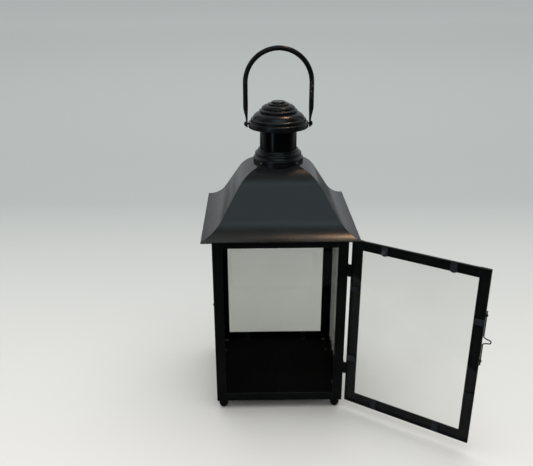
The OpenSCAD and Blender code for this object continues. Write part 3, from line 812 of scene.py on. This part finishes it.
def build_door_bars():
    """Two uprights of angle strip, and two bars between them whose lips run on over the uprights."""
    outer, inner = 1.5, 0.4
    deep = 5.0
    # local x is depth from the door's front plane, local y runs in from the door's edge
    edge = rounded([(0, 0, outer), (0, BAR_W, 0), (BAR_T, BAR_W, 0), (BAR_T, BAR_T, inner),
                    (deep, BAR_T, 0), (deep, 0, 0)])
    for name, side in (("hinge", 1), ("latch", -1)):
        data = bmesh.new()
        lay = Matrix(((0, -side, 0, side * DOOR_HALF), (1, 0, 0, DOOR_FRONT), (0, 0, 1, 0),
                      (0, 0, 0, 1)))
        prism(data, edge, DOOR_LOW, DOOR_TOP, lay)
        made("door_bar_" + name, data, TWO, "door", ["door_stile_" + name], place=HUNG, bevel=0.25)
    for name, z, up in (("top", DOOR_TOP, -1), ("bottom", DOOR_LOW, 1)):
        data = bmesh.new()
        lay = Matrix(((0, 0, 1, 0), (1, 0, 0, DOOR_FRONT), (0, up, 0, z), (0, 0, 0, 1)))
        reach, full = DOOR_HALF - BAR_W, DOOR_HALF - BAR_T
        prism(data, edge, -reach, reach, lay)
        lip = [(outer + 0.1, 0), (outer + 0.1, BAR_T), (deep, BAR_T), (deep, 0)]
        for s in (-1, 1):
            ends = sorted((s * reach, s * full))
            prism(data, lip, *ends, lay)
        made("door_bar_" + name, data, TWO, "door", ["door_rail_" + name], place=HUNG, bevel=0.25)


def build_door_clips():
    """Tabs with a round tip that lie on the glass."""
    long_reach, short_reach = 15.9, 13.8
    wide, t, tip_r = 5.0, 0.8, 7.0
    tip_angle = math.acos(wide / tip_r) / DEG
    back = DOOR_FRONT + BAR_T + 2 + 0.15
    quarter, height = DOOR_HALF / 2, 62.5
    middle = (DOOR_LOW + DOOR_TOP) / 2
    data = bmesh.new()

    def tab(x, z, turn, reach):
        tip = arc(0, reach - tip_r, tip_r, tip_angle, 180 - tip_angle, 10)
        shape = [(-wide, 0), (wide, 0), (wide, reach * 0.45), *tip, (-wide, reach * 0.45)]
        lay = (Matrix.Translation((x, back, z)) @ Matrix.Rotation(turn * DEG, 4, "Y")
               @ Matrix.Rotation(-90 * DEG, 4, "X") @ Matrix.Diagonal((1, -1, 1, 1)))
        prism(data, shape, 0, t, lay)

    for x in (-quarter, quarter):
        tab(x, DOOR_LOW + BAR_T, 0, long_reach)
        tab(x, DOOR_TOP - BAR_T, 180, long_reach)
    for z in (-height, height):
        tab(-DOOR_HALF + BAR_T, middle + z, 90, short_reach)
        tab(DOOR_HALF - BAR_T, middle + z, 270, short_reach)
    made("glass_tabs", data, (CLIP_PAINT_PAINTED_REFLECTION, PAINT_EDGE_WEAR_AND_HIGHLIGHT), "door", ["door_clips"], place=HUNG, bevel=0.22)


def build_latch():
    """A wire with a hairpin loop, and its two staples."""
    x, y = -DOOR_HALF - 1.35, DOOR_BACK - 2.5
    loop_z = DOOR_LOW + 0.62 * (DOOR_TOP - DOOR_LOW)
    r, bulb = 0.9, 2.8
    up, down = 46.5, -40
    bend = [(0, 16), (0, 8.2), (-0.35, 5.9), (-2.3, 4.5), (-5.2, 3.35), (-7.3, 2.9)]
    points = [(0, up), (0, up * 0.6)] + bend
    points += [(-8.2 + bulb * math.cos(a * DEG), bulb * math.sin(a * DEG)) for a in range(105, 256, 30)]
    points += [(a, -b) for a, b in reversed(bend)] + [(0, down * 0.6), (0, down)]
    path = smooth_path([Vector((x + a, y, loop_z + b)) for a, b in points], 8)
    data = bmesh.new()
    sweep(data, path, lambda i, u: (r * math.cos(u), r * math.sin(u)), Vector((0, 1, 0)), 20)
    for z in (up, down):
        lathe(data, arc(0, 0, 1.18, -90, 90, 12), 24, Matrix.Translation((x, y, loop_z + z)))
    made("latch_loop_wire", data, (WIRE_PAINT,), "latch", ["latch_wire"], place=HUNG, sharp=60)
    data = bmesh.new()
    hole, outer_r, tall = r + 0.08, 2.0, 1.5
    soft = 0.35
    section = [(hole, -tall), (outer_r - soft, -tall)]
    section += arc(outer_r - soft, -tall + soft, soft, -90, 0, 4)
    section += arc(outer_r - soft, tall - soft, soft, 0, 90, 4) + [(hole, tall)]

    def trim(point):
        """Flattens a staple against the door's edge."""
        point.x = min(point.x, -DOOR_HALF - 0.02)
        return point

    for z in (down + 6, up - 6):
        place = Matrix.Translation((x, y, loop_z + z))
        lathe(data, section, 40, closed=True, shape=lambda p, m=place: trim(m @ p))
    made("latch_staples", data, (WIRE_PAINT, PAINT_EDGE_WEAR_AND_HIGHLIGHT), "door", ["latch_eyes"], place=HUNG, sharp=50)


def build_rivets():
    """Rivet heads on the hinge leaves, and the stud that the latch wire closes over."""
    heads = dome_outline(2.2, 1.1, 8, 0.15)
    low, high = box_mm("hinge_frame_rivets")
    leaves = [box_mm("hinge_%s_frame_leaf" % level) for level in ("lower", "upper")]
    hinges = [(leaf_low.z + leaf_high.z) / 2 for leaf_low, leaf_high in leaves]
    data = bmesh.new()
    for z in hinges:
        for dz in (-6, 6):
            lathe(data, heads, 32, Matrix.Translation((HALF + 1, (low.y + high.y) / 2, z + dz))
                  @ Matrix.Rotation(90 * DEG, 4, "Y"))
    made("hinge_rivets_frame", data, (WIRE_PAINT,), "lantern", ["hinge_frame_rivets"], sharp=50)
    data = bmesh.new()
    for z in hinges:
        lathe(data, heads, 32, Matrix.Translation((HALF - 7, DOOR_FRONT - 1, z))
              @ Matrix.Rotation(90 * DEG, 4, "X"))
    made("hinge_rivets_door", data, (WIRE_PAINT,), "door", ["hinge_door_rivets"], place=HUNG, sharp=50)
    data = bmesh.new()
    spot = box_mm("catch_stud")
    middle = (spot[0] + spot[1]) / 2
    lathe(data, dome_outline(1.8, 1.3, 8, 0.2), 32, Matrix.Translation((-HALF, middle.y, middle.z))
          @ Matrix.Rotation(-90 * DEG, 4, "Y"))
    made("latch_stud", data, (WIRE_PAINT,), "lantern", ["catch_stud"], sharp=50)


build_posts()
build_rails()
build_feet()
build_foot_screws()
build_roof()
build_collar()
build_collar_screws()
build_neck()
build_cap()
build_handle()
build_handle_rivets()
build_door_bars()
build_door_clips()
build_latch()
build_rivets()

for pane in ("pane_left", "pane_right", "pane_back"):
    keep(pane, (DUSTY_GLASS_PAINTED_SHADE,), 0.15, 1)
keep("door_glass", (GLASS,), 0.15, 1)
keep("base_plate", (FLOOR_PAINT, PAINT_EDGE_WEAR_AND_HIGHLIGHT), 0.2)
keep("eave_plate", TWO, 0.2)
for tabs in ("pane_clips_left", "pane_clips_right", "pane_clips_back"):
    keep(tabs, (TAB_PAINT, PAINT_EDGE_WEAR_AND_HIGHLIGHT), 0.15)
for hidden in ("neck_flange", "cap_strap"):
    keep(hidden, (PAINT,), 0.15)
keep("cap_nut", (SCREW,), 0.2)
for level in ("upper", "lower"):
    keep("hinge_%s_frame_leaf" % level, (WIRE_PAINT, PAINT_EDGE_WEAR_AND_HIGHLIGHT), 0.12)
    keep("hinge_%s_door_leaf" % level, (WIRE_PAINT, PAINT_EDGE_WEAR_AND_HIGHLIGHT), 0.12)
    keep("hinge_%s_pin" % level, (WIRE_PAINT, PAINT_EDGE_WEAR_AND_HIGHLIGHT))


# ---- stage, light and camera ----

def plate(name, size, middle, material):
    """A flat sheet of floor."""
    data = bmesh.new()
    bmesh.ops.create_grid(data, x_segments=8, y_segments=8, size=0.5)
    data.transform(Matrix.Translation(middle) @ Matrix.Diagonal((*size, 1, 1)))
    mesh = bpy.data.meshes.new(name)
    data.to_mesh(mesh)
    data.free()
    mesh.materials.append(material)
    piece = bpy.data.objects.new(name, mesh)
    bpy.context.scene.collection.objects.link(piece)
    return piece


def build_stage():
    """A wide pale floor. Only a table's width of it shows in the gloss of the paint and the glass."""
    n = Nodes("pale_floor")
    depth = n.add("ShaderNodeSeparateXYZ")
    n.link(n.place, depth.inputs[0])
    pale = n.mix(n.noise(1.3, 3), (0.74, 0.73, 0.70), (0.8, 0.79, 0.765))
    # Painted shade and light: the floor's colour darkens behind the lantern, then lightens again far
    # back, in place of the lamps' fall-off
    middle = n.mix(n.span(depth.outputs["Y"], -0.3, 1.0), pale, (0.42, 0.445, 0.44))
    floor_with_painted_falloff = n.mix(n.span(depth.outputs["Y"], 1.5, 8), middle, (0.58, 0.615, 0.61))
    n.link(floor_with_painted_falloff, n.shader.inputs["Base Color"])
    n.shader.inputs["Roughness"].default_value = 0.9
    n.shader.inputs["Specular IOR Level"].default_value = 0.05
    floor = plate("floor", (160, 160), (0, 0, 0), n.mat)
    floor.visible_glossy = False
    table = plate("table_in_the_gloss", (3.2, 2.4), (0, 0.82, -0.001), n.mat)
    table.visible_camera = False
    table.visible_diffuse = False
    table.visible_shadow = False
    table.visible_transmission = False


def build_world():
    """Soft light from all round, darker towards the front so that the black paint stays black."""
    world = bpy.data.worlds.new("studio")
    world.use_nodes = True
    tree = world.node_tree
    tree.nodes.clear()
    coords = tree.nodes.new("ShaderNodeTexCoord")
    split = tree.nodes.new("ShaderNodeSeparateXYZ")
    tree.links.new(coords.outputs["Generated"], split.inputs[0])
    ramp = tree.nodes.new("ShaderNodeMapRange")
    ramp.interpolation_type = "SMOOTHSTEP"
    for key, value in (("From Min", -0.35), ("From Max", 0.75), ("To Min", 0.02), ("To Max", 0.4)):
        ramp.inputs[key].default_value = value
    tree.links.new(split.outputs["Y"], ramp.inputs["Value"])
    soft = tree.nodes.new("ShaderNodeBackground")
    soft.inputs["Color"].default_value = (0.93, 0.97, 1.0, 1)
    tree.links.new(ramp.outputs[0], soft.inputs["Strength"])
    plain = tree.nodes.new("ShaderNodeBackground")
    plain.inputs["Color"].default_value = (0.56, 0.57, 0.57, 1)
    path = tree.nodes.new("ShaderNodeLightPath")
    both = tree.nodes.new("ShaderNodeMixShader")
    tree.links.new(path.outputs["Is Camera Ray"], both.inputs[0])
    tree.links.new(soft.outputs[0], both.inputs[1])
    tree.links.new(plain.outputs[0], both.inputs[2])
    out = tree.nodes.new("ShaderNodeOutputWorld")
    tree.links.new(both.outputs[0], out.inputs["Surface"])
    bpy.context.scene.world = world


def lamp(name, spot, aim, size, power, colour, glossy=True, diffuse=True):
    light = bpy.data.lights.new(name, "AREA")
    light.shape = "RECTANGLE"
    light.size, light.size_y = size
    light.energy = power
    light.color = colour
    piece = bpy.data.objects.new(name, light)
    piece.location = spot
    piece.rotation_euler = (Vector(aim) - Vector(spot)).to_track_quat("-Z", "Y").to_euler()
    piece.visible_glossy = glossy
    piece.visible_diffuse = diffuse
    bpy.context.scene.collection.objects.link(piece)


def build_lights():
    """Two wide soft lamps light the scene. The others only show in the gloss."""
    lamp("overhead_softbox", (0.1, 0.6, 4.2), (0, 0.6, 0), (6, 6), 130, (1.0, 0.995, 0.98),
         glossy=False)
    lamp("room_light", (0, 0, 14), (0, 0.01, 0), (90, 90), 15750, (1.0, 0.995, 0.985),
         glossy=False)
    lamp("left_strip", (-1.35, -1.75, 0.75), (0, 0, 0.45), (0.5, 1.9), 2.6, (0.68, 0.88, 1.0),
         diffuse=False)
    lamp("warm_ceiling_lamp", (0.52, 0.42, 2.3), (0, 0, 0.35), (0.3, 0.26), 7.8, (1.0, 0.62, 0.36),
         diffuse=False)
    lamp("front_window", (0.1, -2.4, 2.3), (0, 0, 0.36), (2.6, 2.3), 10.5, (0.74, 0.93, 1.0),
         diffuse=False)
    lamp("high_window", (0.1, -1.75, 3.75), (0, 0, 0.4), (2.6, 1.5), 4.2, (0.7, 0.92, 1.0),
         diffuse=False)


def build_camera():
    """The camera's angle in the photo, in radians: yaw to the right, pitch down, roll clockwise."""
    yaw, pitch, roll = 0.0036564, 0.4218196, 0.0097092
    ahead = Vector((math.sin(yaw) * math.cos(pitch), math.cos(yaw) * math.cos(pitch), -math.sin(pitch)))
    right = Vector((math.cos(yaw), -math.sin(yaw), 0))
    down = ahead.cross(right)
    turned_right = right * math.cos(roll) + down * math.sin(roll)
    turned_down = down * math.cos(roll) - right * math.sin(roll)
    data = bpy.data.cameras.new("camera")
    data.sensor_width = 36
    data.lens = 46.13
    data.shift_x = 0.0225
    data.shift_y = 0.0657
    data.clip_start = 0.05
    camera = bpy.data.objects.new("camera", data)
    turn = Matrix((turned_right, -turned_down, -ahead)).transposed()
    camera.matrix_world = Matrix.Translation((-0.0434, -1.0675, 0.6939)) @ turn.to_4x4()
    bpy.context.scene.collection.objects.link(camera)
    bpy.context.scene.camera = camera


build_stage()
build_world()
build_lights()
build_camera()
bpy.context.scene.view_settings.view_transform = "Standard"

bpy.context.view_layer.update()
